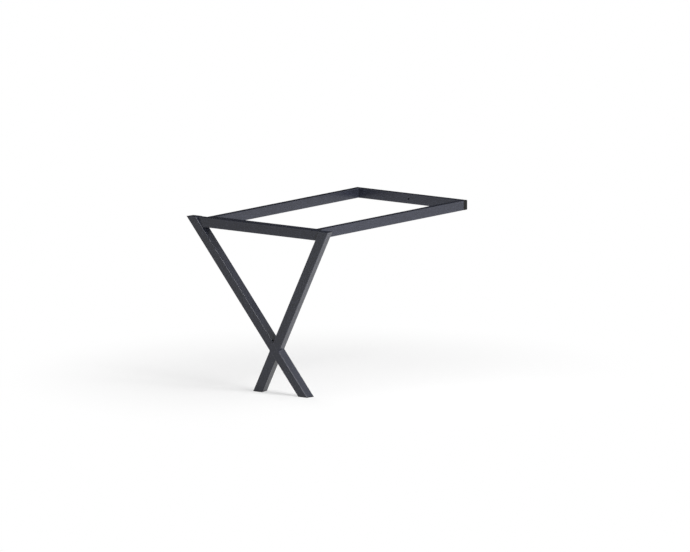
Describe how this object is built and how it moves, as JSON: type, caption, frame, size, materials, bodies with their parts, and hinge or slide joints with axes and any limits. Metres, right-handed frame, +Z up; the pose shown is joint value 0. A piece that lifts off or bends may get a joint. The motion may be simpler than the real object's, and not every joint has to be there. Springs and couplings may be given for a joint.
{
  "type": "x-shaped table leg with carrier frame",
  "caption": "Leaning X-shaped steel table leg bolted to a rectangular carrier frame of box tube that bears a table top and is fixed to a cabinet at its rear bar.",
  "frame": {"origin": "on the floor, under the middle of the overall length and width", "axes": "+X across the frame, +Y from the leg to the rear bar, +Z up"},
  "size_m": [0.7278, 1.037, 0.72],
  "materials": {
    "frame_coat": "fine matt powder coat, anthracite",
    "glide_plastic": "black moulded plastic",
    "cap_plastic": "black moulded plastic, lightly grained",
    "bolt_steel": "black oxide",
    "insert_steel": "bright zinc plate"
  },
  "bodies": {
    "root": {"leg_tube_through": "frame_coat", "leg_tube_upper": "frame_coat", "leg_tube_lower": "frame_coat", "leg_top_bar": "frame_coat", "leg_top_plate_left": "frame_coat", "leg_top_plate_right": "frame_coat", "foot_glide_left": "glide_plastic", "foot_glide_right": "glide_plastic", "frame_front_bar": "frame_coat", "frame_rear_bar": "frame_coat", "side_rail_left": "frame_coat", "side_rail_right": "frame_coat", "front_end_cap_left": "cap_plastic", "front_end_cap_right": "cap_plastic", "rear_end_cap_left": "cap_plastic", "rear_end_cap_right": "cap_plastic", "joining_bolts": "bolt_steel", "joining_washers": "bolt_steel", "joining_rivet_nuts": "insert_steel", "rear_rivet_nuts": "insert_steel"}
  },
  "joints": []
}
